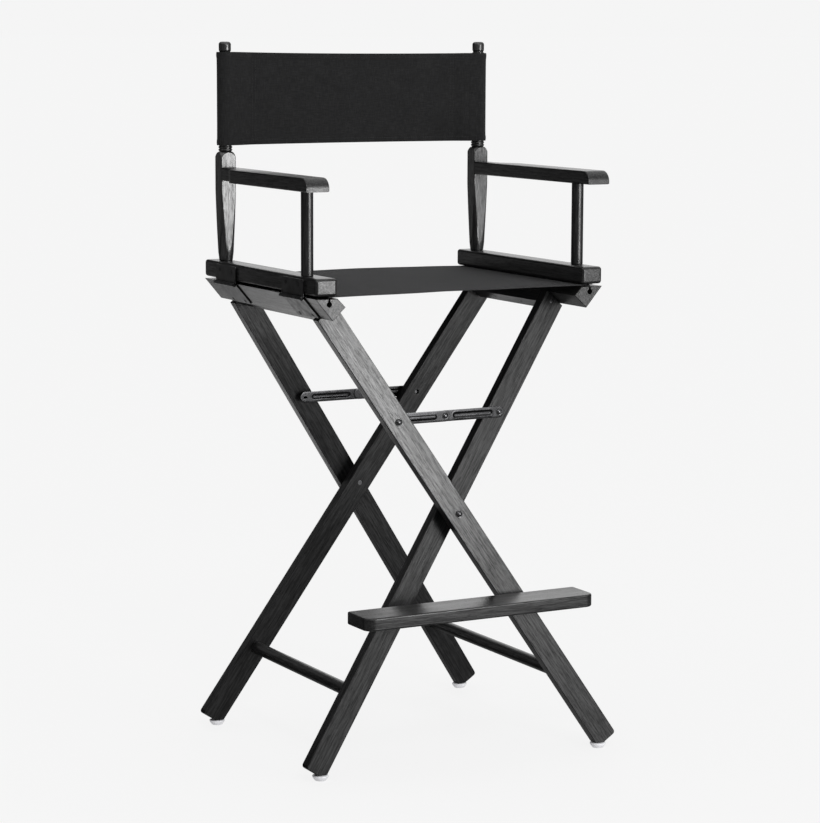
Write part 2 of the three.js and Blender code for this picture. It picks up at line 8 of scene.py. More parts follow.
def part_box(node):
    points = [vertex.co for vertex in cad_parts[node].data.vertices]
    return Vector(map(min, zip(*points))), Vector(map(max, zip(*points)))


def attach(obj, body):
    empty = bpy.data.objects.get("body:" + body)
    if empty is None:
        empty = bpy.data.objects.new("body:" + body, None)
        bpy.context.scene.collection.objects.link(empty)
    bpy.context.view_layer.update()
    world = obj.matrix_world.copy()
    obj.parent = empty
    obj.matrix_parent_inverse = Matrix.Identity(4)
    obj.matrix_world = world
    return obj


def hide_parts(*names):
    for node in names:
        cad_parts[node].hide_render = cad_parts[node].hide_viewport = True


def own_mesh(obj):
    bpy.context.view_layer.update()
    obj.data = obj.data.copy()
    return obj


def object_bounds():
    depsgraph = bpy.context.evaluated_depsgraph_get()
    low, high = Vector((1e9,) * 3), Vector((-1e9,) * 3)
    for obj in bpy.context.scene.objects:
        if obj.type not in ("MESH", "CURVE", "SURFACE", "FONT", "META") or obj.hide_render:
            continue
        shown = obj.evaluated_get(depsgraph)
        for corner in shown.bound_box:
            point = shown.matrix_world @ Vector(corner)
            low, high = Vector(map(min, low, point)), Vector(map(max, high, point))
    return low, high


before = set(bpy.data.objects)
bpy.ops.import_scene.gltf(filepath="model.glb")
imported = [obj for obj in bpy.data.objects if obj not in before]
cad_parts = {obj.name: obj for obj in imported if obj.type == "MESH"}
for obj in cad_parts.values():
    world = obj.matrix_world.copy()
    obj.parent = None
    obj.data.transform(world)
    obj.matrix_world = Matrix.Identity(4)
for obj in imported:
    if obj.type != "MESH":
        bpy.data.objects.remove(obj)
cad_low, cad_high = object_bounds()

MM = 0.001
X = Vector((1, 0, 0))
Y = Vector((0, 1, 0))
Z = Vector((0, 0, 1))

# the sides as seen from the front: name, sign along X, and the leg frame whose rail is on that side
SIDES = [("left", -1, "outer"), ("right", 1, "inner")]
ENDS = [("front", -1), ("rear", 1)]  # name and sign along Y

# the leg frames
LEG_ANGLE = math.radians(33.5)  # from upright, across the chair
PIVOT_HEIGHT = 407 * MM
SPLAY = 0.09  # how far a leg leans towards the chair's middle for each metre up its length
FRAME_DEPTH = {"outer": 198.8 * MM, "inner": 163.2 * MM}  # half depth of each frame at the pivot

# corners of a lower rail's section: distance from the chair's middle, and height
RAIL_OUTER = (260.5 * MM, 764.5 * MM)
RAIL_BOTTOM = (231 * MM, 730 * MM)
RAIL_INNER = (208.5 * MM, 750.5 * MM)

# the places that pieces share, from the CAD model's own boxes
POST_LOW, POST_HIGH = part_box("left_back_post")
POST_X = abs(POST_LOW.x + POST_HIGH.x) / 2  # from the chair's middle to a back post's axis
POST_Y = (POST_LOW.y + POST_HIGH.y) / 2
POST_SIDE = POST_HIGH.x - POST_LOW.x
BACK_LOW, BACK_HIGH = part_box("back_canvas")
SEAT_LOW, SEAT_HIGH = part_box("seat_canvas")

# cloth
CLOTH = 1.1 * MM
HEM = 0.5 * MM  # how much a hem adds to each face of the cloth
THREAD = 0.32 * MM  # radius
STITCH_PITCH = 4.4 * MM


# ---------- meshes ----------
def solid(name, points, faces):
    mesh = bpy.data.meshes.new(name)
    mesh.from_pydata([tuple(p) for p in points], [], faces)
    mesh.update()
    piece = bpy.data.objects.new(name, mesh)
    bpy.context.scene.collection.objects.link(piece)
    return piece


def arc(centre, radius, start, end, steps=8):
    """Points of a circular arc in a plane, with angles in degrees."""
    turns = [math.radians(start + (end - start) * i / steps) for i in range(steps + 1)]
    return [(centre[0] + radius * math.cos(t), centre[1] + radius * math.sin(t)) for t in turns]


def turned(name, profile, base, axis, steps=64, ring=False):
    """A lathe-turned solid. The profile holds (radius, distance along the axis); a ring's profile closes."""
    place = Matrix.Translation(base) @ Vector(axis).to_track_quat("Z", "X").to_matrix().to_4x4()
    points, circles = [], []
    for radius, along in profile:
        count = 1 if radius < 1e-9 else steps
        circles.append(range(len(points), len(points) + count))
        for i in range(count):
            angle = math.tau * i / steps
            points.append(place @ Vector((radius * math.cos(angle), radius * math.sin(angle), along)))
    pairs = list(zip(circles, circles[1:]))
    if ring:
        pairs.append((circles[-1], circles[0]))
    faces = []
    for low, high in pairs:
        for i in range(steps):
            j = (i + 1) % steps
            quad = [low[i % len(low)], low[j % len(low)], high[j % len(high)], high[i % len(high)]]
            corners = list(dict.fromkeys(quad))
            if len(corners) > 2:
                faces.append(corners)
    return solid(name, points, faces)


def tube_faces(rings, count, base=0):
    """Faces of a tube of rings of count points each, closed at both ends, from a first point on."""
    faces = []
    for i in range(rings - 1):
        low = base + i * count
        for j in range(count):
            k = (j + 1) % count
            faces.append([low + j, low + k, low + count + k, low + count + j])
    faces.append([base + j for j in range(count)][::-1])
    faces.append([base + (rings - 1) * count + j for j in range(count)])
    return faces


def shell_faces(columns, rows, ends=True):
    """Faces of a thin closed sheet: its front points come first, column by column, then its back ones."""
    across = rows + 1
    total = (columns + 1) * across
    faces = []
    for i in range(columns):
        for j in range(rows):
            a, b = i * across + j, (i + 1) * across + j
            faces.append([a, b, b + 1, a + 1])
            faces.append([total + a, total + a + 1, total + b + 1, total + b])
    rim = [(i * across, (i + 1) * across) for i in range(columns)]
    rim += [((i + 1) * across + rows, i * across + rows) for i in range(columns)]
    if ends:
        rim += [(j + 1, j) for j in range(rows)]
        rim += [(columns * across + j, columns * across + j + 1) for j in range(rows)]
    return faces + [[b, a, total + a, total + b] for a, b in rim]


def prism(name, outline, origin, across, up, thickness):
    """A flat outline (distances along across and up from the origin), thickened to both sides."""
    away = Vector(across).cross(Vector(up)).normalized()
    points = []
    for side in (-0.5, 0.5):
        for a, b in outline:
            points.append(Vector(origin) + Vector(across) * a + Vector(up) * b + away * (side * thickness))
    return solid(name, points, tube_faces(2, len(outline)))


def rectangle(half_width, half_height):
    return [
        (-half_width, -half_height), (half_width, -half_height),
        (half_width, half_height), (-half_width, half_height),
    ]


def block(name, low, high):
    middle = (Vector(low) + Vector(high)) / 2
    half = (Vector(high) - Vector(low)) / 2
    return prism(name, rectangle(half.x, half.y), middle, X, Y, 2 * half.z)


def baked(piece):
    """Applies the piece's modifiers."""
    graph = bpy.context.evaluated_depsgraph_get()
    mesh = bpy.data.meshes.new_from_object(piece.evaluated_get(graph))
    piece.modifiers.clear()
    piece.data = mesh
    return piece


def eased(piece, width, steps=3, sharpest=25):
    """Rounds the edges that are sharper than an angle in degrees."""
    bevel = piece.modifiers.new("ease", "BEVEL")
    bevel.width = width
    bevel.segments = steps
    bevel.limit_method = "ANGLE"
    bevel.angle_limit = math.radians(sharpest)
    return baked(piece)


def combined(piece, tool, operation):
    """Boolean of two closed pieces; the tool is used up."""
    boolean = piece.modifiers.new("boolean", "BOOLEAN")
    boolean.operation = operation
    boolean.solver = "EXACT"
    boolean.object = tool
    baked(piece)
    bpy.data.objects.remove(tool)
    return piece


def together(name, parts):
    """One object from several closed shells; the parts are used up."""
    work = bmesh.new()
    for part in parts:
        part.data.transform(part.matrix_world)
        work.from_mesh(part.data)
        bpy.data.objects.remove(part)
    mesh = bpy.data.meshes.new(name)
    work.to_mesh(mesh)
    work.free()
    piece = bpy.data.objects.new(name, mesh)
    bpy.context.scene.collection.objects.link(piece)
    return piece


def copied(node):
    """A copy of a CAD node's mesh with its flat faces made whole again."""
    work = bmesh.new()
    work.from_mesh(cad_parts[node].data)
    bmesh.ops.remove_doubles(work, verts=work.verts, dist=0.01 * MM)
    bmesh.ops.dissolve_limit(work, angle_limit=math.radians(1), verts=work.verts, edges=work.edges)
    mesh = bpy.data.meshes.new(node)
    work.to_mesh(mesh)
    work.free()
    piece = bpy.data.objects.new(f"{node}_fine", mesh)
    bpy.context.scene.collection.objects.link(piece)
    return piece


def faced_out(piece, weld=0):
    """Turns every face outwards; points closer together than weld are joined first."""
    work = bmesh.new()
    work.from_mesh(piece.data)
    if weld:
        bmesh.ops.remove_doubles(work, verts=work.verts, dist=weld)
    bmesh.ops.recalc_face_normals(work, faces=work.faces)
    work.to_mesh(piece.data)
    work.free()
    return piece


def smooth(piece, angle=35):
    for face in piece.data.polygons:
        face.use_smooth = True
    piece.data.set_sharp_from_angle(angle=math.radians(angle))
    return piece


def polished(piece, angle=35):
    """Smooth shading that leaves the large flat faces flat."""
    smooth(piece, angle)
    weighted = piece.modifiers.new("normals", "WEIGHTED_NORMAL")
    weighted.keep_sharp = True
    return baked(piece)


def grained(piece, direction):
    """Turns the piece's own X axis along its grain, which the wood follows."""
    turn = Vector(direction).to_track_quat("X", "Z").to_matrix().to_4x4()
    piece.data.transform(turn.inverted() @ piece.matrix_world)
    piece.matrix_world = turn
    return piece


def finished(piece, material, body, nodes=()):
    """Gives a piece its material and the body it moves with, and hides the CAD nodes it stands for."""
    piece.data.materials.clear()
    piece.data.materials.append(material)
    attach(piece, body)
    if nodes:
        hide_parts(*nodes)
    return piece


# ---------- materials ----------
def shader(tree, kind, inputs, **settings):
    """Adds a node; inputs maps socket names or numbers to values or to other nodes' outputs."""
    made = tree.nodes.new(kind)
    for key, value in settings.items():
        setattr(made, key, value)
    for key, value in inputs.items():
        socket = made.inputs[key]
        if isinstance(value, bpy.types.NodeSocket):
            tree.links.new(value, socket)
        else:
            socket.default_value = value
    return made


def named_input(material, name):
    """An input of the material's surface; underscores stand for the spaces in its name."""
    return material.node_tree.nodes["Principled BSDF"].inputs[name.replace("_", " ")]


def surface(name, **values):
    material = bpy.data.materials.new(name)
    material.use_nodes = True
    for key, value in values.items():
        named_input(material, key).default_value = value
    return material, material.node_tree


def driven(material, **sources):
    """Links the surface's inputs to the outputs of other nodes."""
    for key, source in sources.items():
        material.node_tree.links.new(source, named_input(material, key))
    return material


def grey(value):
    return (value, value, value * 1.03, 1)


def ramp(tree, factor, *stops):
    """Colour ramp between grey levels, given as (position, grey)."""
    made = shader(tree, "ShaderNodeValToRGB", {"Fac": factor})
    elements = made.color_ramp.elements
    while len(elements) < len(stops):
        elements.new(0.5)
    for element, (position, value) in zip(elements, stops):
        element.position = position
        element.color = grey(value)
    return made.outputs["Color"]


def spread(tree, value, low, high, to_low=0, to_high=1, **settings):
    """Maps one range of a value to another."""
    inputs = {"Value": value, "From Min": low, "From Max": high, "To Min": to_low, "To Max": to_high}
    return shader(tree, "ShaderNodeMapRange", inputs, **settings).outputs["Result"]


def bump(tree, height, strength, distance):
    inputs = {"Height": height, "Strength": strength, "Distance": distance}
    return shader(tree, "ShaderNodeBump", inputs).outputs["Normal"]


def object_place(tree):
    return shader(tree, "ShaderNodeTexCoord", {}).outputs["Object"]


def noisy(tree, place, scale, detail=2, roughness=0.55):
    """Noise with its own scale along each axis, in features per metre."""
    stretched = shader(tree, "ShaderNodeMapping", {"Vector": place, "Scale": scale}).outputs[0]
    inputs = {"Vector": stretched, "Scale": 1, "Detail": detail, "Roughness": roughness}
    return shader(tree, "ShaderNodeTexNoise", inputs).outputs[0]


def calculated(tree, operation, *values):
    return shader(tree, "ShaderNodeMath", dict(enumerate(values)), operation=operation).outputs[0]


def weighed(tree, *terms):
    """Sum of values, each given with its weight."""
    total = 0
    for value, weight in terms:
        total = calculated(tree, "MULTIPLY_ADD", value, weight, total)
    return total


def black_wood(name, gloss):
    """Black stained ash under a lacquer of some gloss: bands, grain lines and open pores along local X."""
    material, tree = surface(name, Coat_Weight=0.1 * gloss, Coat_Roughness=0.22)
    place = object_place(tree)
    bands = noisy(tree, place, (2, 40, 40))
    grain = noisy(tree, place, (24, 460, 460), 3, 0.6)
    pores = noisy(tree, place, (80, 900, 900), 1)
    stain = weighed(tree, (bands, 0.2), (grain, 0.8))
    lacquered = spread(tree, grain, 0.36, 0.6, 0.34 * gloss, 0.64 * gloss)
    closed = spread(tree, pores, 0.34, 0.44, 0.55, 1)
    pits = spread(tree, pores, 0.32, 0.46)
    lines = spread(tree, grain, 0.35, 0.65)
    return driven(
        material,
        Base_Color=ramp(tree, stain, (0.38, 0.003), (0.5, 0.005), (0.62, 0.010)),
        Specular_IOR_Level=calculated(tree, "MULTIPLY", lacquered, closed),
        Roughness=spread(tree, bands, 0.35, 0.65, 0.31, 0.37),
        Normal=bump(tree, calculated(tree, "ADD", pits, lines), 0.35, 0.15 * MM),
    )


WEAVE = 0.75 * MM  # from one thread of the canvas to the next


def canvas(name, dark, light, sheen):
    """Plain-woven cotton on UVs in metres: warp and weft cross over and under, with slubs and a mottle."""
    material, tree = surface(
        name, Sheen_Weight=sheen, Sheen_Roughness=0.45, Sheen_Tint=grey(0.75), Roughness=0.9,
        Specular_IOR_Level=0.15,
    )
    place = shader(tree, "ShaderNodeUVMap", {}).outputs["UV"]
    split = shader(tree, "ShaderNodeSeparateXYZ", {"Vector": place})
    warp, weft = (
        calculated(tree, "SINE", calculated(tree, "MULTIPLY", split.outputs[axis], math.pi / WEAVE))
        for axis in ("X", "Y")
    )
    over = calculated(tree, "GREATER_THAN", calculated(tree, "MULTIPLY", warp, weft), 0)
    tops = shader(tree, "ShaderNodeMix", {
        "Factor": over, "A": calculated(tree, "ABSOLUTE", warp), "B": calculated(tree, "ABSOLUTE", weft),
    }).outputs["Result"]
    slubs = calculated(tree, "ADD", noisy(tree, place, (70, 620, 1)), noisy(tree, place, (620, 70, 1)))
    mottle = noisy(tree, place, (24, 24, 1), 3)
    tone = weighed(tree, (slubs, 0.34), (mottle, 0.12), (tops, 0.12))
    return driven(
        material,
        Base_Color=ramp(tree, tone, (0.42, dark), (0.66, light)),
        Normal=bump(tree, weighed(tree, (tops, 1), (slubs, 0.5)), 0.6, 0.22 * MM),
    )


def thread():
    """Twisted sewing thread."""
    material, tree = surface("thread", Roughness=0.8, Sheen_Weight=0.04)
    twist = noisy(tree, object_place(tree), (2500, 2500, 2500), 1)
    colour = ramp(tree, twist, (0.35, 0.004), (0.65, 0.012))
    return driven(material, Base_Color=colour, Normal=bump(tree, twist, 0.4, 0.1 * MM))


def steel(name, dark, light, rough_low, rough_high, metallic):
    """Steel with rubbed patches and faint scratches along X."""
    material, tree = surface(name, Metallic=metallic)
    place = object_place(tree)
    rubbed = noisy(tree, place, (90, 90, 90), 3)
    scratches = noisy(tree, place, (120, 2600, 2600), 2)
    tone = weighed(tree, (rubbed, 0.7), (scratches, 0.3))
    return driven(
        material,
        Base_Color=ramp(tree, tone, (0.4, dark), (0.62, light)),
        Roughness=spread(tree, rubbed, 0.35, 0.65, rough_low, rough_high),
        Normal=bump(tree, scratches, 0.06, 0.06 * MM),
    )


def nylon():
    """White moulded nylon, slightly scuffed."""
    material, tree = surface("nylon", Specular_IOR_Level=0.4)
    scuffs = noisy(tree, object_place(tree), (300, 300, 700), 3)
    return driven(
        material,
        Base_Color=ramp(tree, scuffs, (0.3, 0.6), (0.55, 0.7)),
        Roughness=spread(tree, scuffs, 0.3, 0.7, 0.5, 0.32),
        Normal=bump(tree, scuffs, 0.04, 0.05 * MM),
    )


WOOD = black_wood("black_wood", 1)
MATT_WOOD = black_wood("black_wood_matt", 0.62)
GLOSSY_WOOD = black_wood("black_wood_glossy", 1.65)
# the seat and the back are one canvas; the seat's copy is painted about twice as light as the back's, painted
# light standing in for the light falling on its top
BACK_CLOTH = canvas("back_cloth", 0.010, 0.0235, 0.03)
SEAT_CLOTH_PAINTED_LIGHTER = canvas("seat_cloth_painted_lighter", 0.025, 0.052, 0.04)
THREAD_BLACK = thread()
DARK_STEEL = steel("dark_steel", 0.02, 0.06, 0.3, 0.45, 0.85)
RIVET_STEEL = steel("rivet_steel", 0.06, 0.14, 0.22, 0.32, 1.0)
LINK_STEEL = steel("link_steel", 0.03, 0.046, 0.24, 0.3, 1.0)
BLACK_STEEL = steel("black_steel", 0.004, 0.012, 0.45, 0.6, 0.4)
NYLON = nylon()


# ---------- wood ----------
def wood(piece, node, body, direction, angle=35, lacquer=WOOD):
    return polished(finished(grained(piece, direction), lacquer, body, [node]), angle)


def leg_direction(side, face):
    """Along a leg towards its top: side -1 leans to the left, face -1 is a front leg, which leans back."""
    return Vector((side * math.sin(LEG_ANGLE), -face * SPLAY, math.cos(LEG_ANGLE))).normalized()


LEG_EASE = 0.3 * MM
LOWER_RAIL_EASE = 0.4 * MM
UPPER_RAIL_EASE = 5 * MM
DOWEL_SHORT = 11 * MM  # how far the seat's dowels stop short of the CAD ones at each end


def make_legs():
    for _, side, body in SIDES:
        for end, face in ENDS:
            node = f"{body}_{end}_leg"
            leg = eased(copied(node), LEG_EASE, 2, 24)
            lacquer = WOOD if node == "outer_front_leg" else MATT_WOOD
            wood(leg, node, f"{body}_leg_frame", leg_direction(side, face), 50, lacquer)


def bar_profile(radius, low, high, ease, bore=0):
    """Half outline of a round bar, or of a tube with a bore, with its end edges eased."""
    return [
        (bore, low),
        *arc((radius - ease, low + ease), ease, -90, 0, 3),
        *arc((radius - ease, high - ease), ease, 0, 90, 3),
        (bore, high),
    ]


def rod(node, axis, ease=0.8 * MM, steps=48, short=0):
    """A round bar along an axis of a CAD node's box, short of each end by some, its end edges eased."""
    low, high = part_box(node)
    length = (high - low) @ axis - 2 * short
    radius = min(high - low) / 2
    base = (low + high) / 2 - axis * (length / 2)
    return turned(f"{node}_fine", bar_profile(radius, 0, length, ease), base, axis, steps)


def make_stretchers():
    for _, _, body in SIDES:
        node = f"{body}_stretcher"
        wood(rod(node, Y), node, f"{body}_leg_frame", Y)


def make_lower_rails():
    """The lower rails with their cleats, and the dowels in the seat's loops."""
    for side, _, body in SIDES:
        for node in (f"{side}_lower_rail", f"{side}_cleat"):
            wood(eased(copied(node), LOWER_RAIL_EASE, 2, 20), node, f"{body}_leg_frame", Y, 50)
        node = f"{side}_seat_dowel"
        wood(rod(node, Y, 0.5 * MM, 32, DOWEL_SHORT), node, f"{body}_leg_frame", Y)


def make_upper_rails():
    for side, _, _ in SIDES:
        node = f"{side}_upper_rail"
        rail = block(f"{node}_fine", *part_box(node))
        wood(eased(rail, UPPER_RAIL_EASE, 5), node, f"{side}_arm_frame", Y)


POST_TAPER_TOP = 128.7 * MM  # above the post's foot, where the taper grows into the square block
POST_BLOCK_TOP = 180.2 * MM  # above the post's foot
POST_KNOB = 16 * MM  # height of the knob at the post's top
POST_DOWEL = 10.5 * MM  # radius of the round length in the back canvas
POST_NECK = 9.6 * MM  # radius under and between the beads
POST_BEAD = 1.9 * MM  # radius


def post_profile(low, high):
    """Half outline of a back post: taper, block, two beads, dowel and knob, as (radius, height)."""
    corner = POST_SIDE / math.sqrt(2)
    block_top = low + POST_BLOCK_TOP
    knob = high - POST_KNOB
    beads = []
    for step in (2.6 * MM, 7 * MM):
        beads += arc((POST_NECK, block_top + step), POST_BEAD, -70, 70, 8)
    return [
        (0, low),
        *arc((10.2 * MM, low + 1 * MM), 1 * MM, -90, 0, 3),
        (12.8 * MM, low + 14 * MM),
        (corner, low + POST_TAPER_TOP),
        (corner, block_top - 10 * MM),
        (16.9 * MM, block_top - 7.2 * MM),
        (15.3 * MM, block_top - 4.4 * MM),
        (13.8 * MM, block_top - 2.4 * MM),
        (12.3 * MM, block_top - 1 * MM),
        (10.8 * MM, block_top - 0.2 * MM),
        (POST_NECK, block_top),
        *beads,
        (POST_DOWEL, block_top + 9.6 * MM),
        (POST_DOWEL, knob - 2.4 * MM),
        *arc((POST_DOWEL, knob - 0.8 * MM), 1.7 * MM, 270, 90, 8),
        *arc((8.8 * MM, knob + 2.2 * MM), 1.2 * MM, -60, 0, 3),
        (10.1 * MM, high - 6 * MM),
        *arc((5.2 * MM, high - 4.9 * MM), 4.9 * MM, 0, 90, 8),
        (0, high),
    ]


def make_back_posts():
    """Each back post is turned with room to spare and then cut square, so that the block keeps flat faces."""
    past_ends = Z * 10 * MM
    for side, _, _ in SIDES:
        node = f"{side}_back_post"
        low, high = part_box(node)
        centre = (low + high) / 2
        spindle = turned(f"{node}_fine", post_profile(low.z, high.z), (centre.x, centre.y, 0), Z, 96)
        bar = eased(block("bar", low - past_ends, high + past_ends), 1.2 * MM)
        post = combined(spindle, bar, "INTERSECT")
        wood(post, node, f"{side}_arm_frame", Z, 28, GLOSSY_WOOD)


def make_front_posts():
    for side, _, _ in SIDES:
        node = f"{side}_front_post"
        wood(rod(node, Z, 0.6 * MM, 64), node, f"{side}_arm_frame", Z)


ARM_TONGUE = 37 * MM  # how far the narrow tongue runs from the rear end
ARM_FLARE_END = 76 * MM  # how far from the rear end the flare reaches its full width
ARM_NOSE = 16 * MM  # radius of the rounded front end
ARM_INNER_DRIFT = 7.8 * MM  # how far the inner edge runs outwards by the front end
ARM_ROUND = 2.6 * MM  # rounding of the long edges


def eased_step(t):
    t = min(max(t, 0), 1)
    return t * t * (3 - 2 * t)


def make_armrests():
    """Each armrest is lofted from rounded sections: flared in plan, rounded over at the front."""
    for side, sign, _ in SIDES:
        node = f"{side}_armrest"
        low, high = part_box(node)
        length = high.y - low.y
        inner_rear = POST_X - POST_SIDE / 2
        outer_rear = POST_X + POST_SIDE / 2
        outer_front = max(abs(low.x), abs(high.x))
        stations = [length * i / 70 for i in range(71)]
        stations += [ARM_NOSE * (1 - math.cos(math.radians(a))) for a in range(3, 90, 6)]
        points = []
        for d in sorted(stations):  # distance from the front end
            back = length - d
            inner = inner_rear + ARM_INNER_DRIFT * back / length
            flare = eased_step((back - ARM_TONGUE) / (ARM_FLARE_END - ARM_TONGUE))
            outer = outer_rear + (outer_front - outer_rear) * flare
            drop = ARM_NOSE - math.sqrt(max(0, ARM_NOSE**2 - max(0, ARM_NOSE - d) ** 2))
            top = high.z - drop
            r = min(ARM_ROUND, (top - low.z) * 0.4)
            section = [
                *arc((inner + r, low.z + r), r, 180, 270, 4),
                *arc((outer - r, low.z + r), r, 270, 360, 4),
                *arc((outer - r, top - r), r, 0, 90, 4),
                *arc((inner + r, top - r), r, 90, 180, 4),
            ]
            count = len(section)
            points += [(sign * x, low.y + d, z) for x, z in section]
        piece = solid(f"{node}_fine", points, tube_faces(len(stations), count))
        wood(faced_out(piece), node, f"{side}_arm_frame", Y, 32)


BOARD_FRONT_CORNER = 17 * MM
BOARD_REAR_CORNER = 4 * MM
BOARD_EASE = 2.6 * MM


def make_footrest_board():
    node = "footrest_board"
    low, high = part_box(node)
    front, rear = BOARD_FRONT_CORNER, BOARD_REAR_CORNER
    outline = [
        *arc((low.x + front, low.y + front), front, 180, 270, 10),
        *arc((high.x - front, low.y + front), front, 270, 360, 10),
        *arc((high.x - rear, high.y - rear), rear, 0, 90, 4),
        *arc((low.x + rear, high.y - rear), rear, 90, 180, 4),
    ]
    board = prism(f"{node}_fine", outline, (0, 0, (low.z + high.z) / 2), X, Y, high.z - low.z)
    wood(eased(board, BOARD_EASE, 4), node, "footrest", X)


# ---------- fittings ----------
def fitting(piece, node, body, metal=DARK_STEEL, angle=35):
    return polished(finished(piece, metal, body, [node]), angle)


def head_profile(radius, height, shank, length):
    """A riveted head: a thin flange under a domed head, over a shank that runs the other way."""
    flange = 0.5 * MM
    dome = radius * 0.86
    ball = (dome**2 + height**2) / (2 * height)
    top = math.degrees(math.asin(min(1, dome / ball)))
    return [
        (0, -length),
        (shank, -length),
        (shank, 0),
        (radius - 0.2 * MM, 0),
        *arc((radius - 0.25 * MM, flange - 0.25 * MM), 0.25 * MM, 0, 90, 3),
        (dome + 0.3 * MM, flange * 0.8),
        *arc((0, flange * 0.7 + height - ball), ball, 90 - top, 90, 12)[:-1],
        (0, flange * 0.7 + height),
    ]


# pins: radius and height of the head, radius of the shank, and height of the CAD pin's head
PIVOT_BOLT = (5.8 * MM, 2.9 * MM, 4 * MM, 3.5 * MM)
LEFT_RIVET = (5.8 * MM, 2.4 * MM, 3.5 * MM, 2.6 * MM)
RIGHT_RIVET = (5.6 * MM, 2.4 * MM, 3.5 * MM, 2.6 * MM)
MIDDLE_RIVET = (5.3 * MM, 2 * MM, 3.5 * MM, 1 * MM)
FOOTREST_BOLT = (5.3 * MM, 2.6 * MM, 4 * MM, 3.5 * MM)
FOOTREST_PEG = (4.8 * MM, 1.2 * MM, 4 * MM, 1.4 * MM)
SPACER_HOLE = 4.3 * MM  # radius


def make_pin(node, body, side, sizes):
    """A headed pin in place of a CAD one, its head at the end towards side (-1 front, 1 rear)."""
    radius, height, shank, cad_head = sizes
    low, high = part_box(node)
    centre = (low + high) / 2
    face = low.y + cad_head if side < 0 else high.y - cad_head
    length = (high.y - face) if side < 0 else (face - low.y)
    profile = head_profile(radius, height, shank, length)
    piece = turned(f"{node}_fine", profile, (centre.x, face, centre.z), Y * side, 40)
    fitting(piece, node, body, RIVET_STEEL)


def make_spacer(node, body):
    low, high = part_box(node)
    half = (high.y - low.y) / 2
    profile = bar_profile((high.x - low.x) / 2, -half, half, 0.5 * MM, SPACER_HOLE)
    fitting(turned(f"{node}_fine", profile, (low + high) / 2, Y, 40, ring=True), node, body)


def make_pins():
    outer, inner = "outer_leg_frame", "inner_leg_frame"
    for end, side in ENDS:
        make_pin(f"{end}_pivot_bolt", outer, side, PIVOT_BOLT)
        make_pin(f"{end}_brace_left_rivet", outer, side, LEFT_RIVET)
        make_pin(f"{end}_brace_right_rivet", inner, side, RIGHT_RIVET)
        make_pin(f"{end}_brace_middle_rivet", f"{end}_left_link", side, MIDDLE_RIVET)
        make_spacer(f"{end}_pivot_spacer", outer)
    make_pin("footrest_pivot_bolt", outer, -1, FOOTREST_BOLT)
    make_pin("footrest_peg", inner, -1, FOOTREST_PEG)


def screw(name, body, point, direction, radius, metal=RIVET_STEEL):
    """A countersunk cross-head screw, its head level with the surface at the point."""
    drive = 0.9 * MM
    lip = 0.25 * MM
    depth = 1.6 * MM
    profile = [
        (0, -depth), (radius * 0.55, -depth), (radius, -lip),
        *arc((radius - lip, 0), lip, 0, 90, 3), (radius * 0.5, lip * 1.3), (0, lip * 1.3),
    ]
    head = turned(name, profile, point, direction, 32)
    turn = Vector(direction).to_track_quat("Z", "X").to_matrix()
    for a, b in ((X, Y), (Y, X)):
        slot = prism("slot", rectangle(radius * 0.6, drive / 2), point, turn @ a, turn @ b, 2 * drive)
        combined(head, slot, "DIFFERENCE")
    return polished(finished(head, metal, body))


HINGE_PIN = 1.4 * MM  # radius
HINGE_BARREL = 3.2 * MM  # outer radius of a knuckle
KNUCKLES = 5
LEAF = 2 * MM  # thickness
LEAF_CORNER = 4 * MM
LEAF_OFF_RAIL = 0.3 * MM  # room between a leaf and the wood
CLEAT_HALF = 9.6 * MM  # from a cleat's middle to its underside

# radii of the screws' heads
HINGE_SCREW = 3.4 * MM
LEG_SCREW = 3.6 * MM
CLEAT_SCREW = 3.2 * MM


def make_hinges():
    for side, sign, frame_name in SIDES:
        for end, _ in ENDS:
            make_hinge(f"{side}_{end}_hinge", sign, f"{side}_arm_frame", f"{frame_name}_leg_frame")


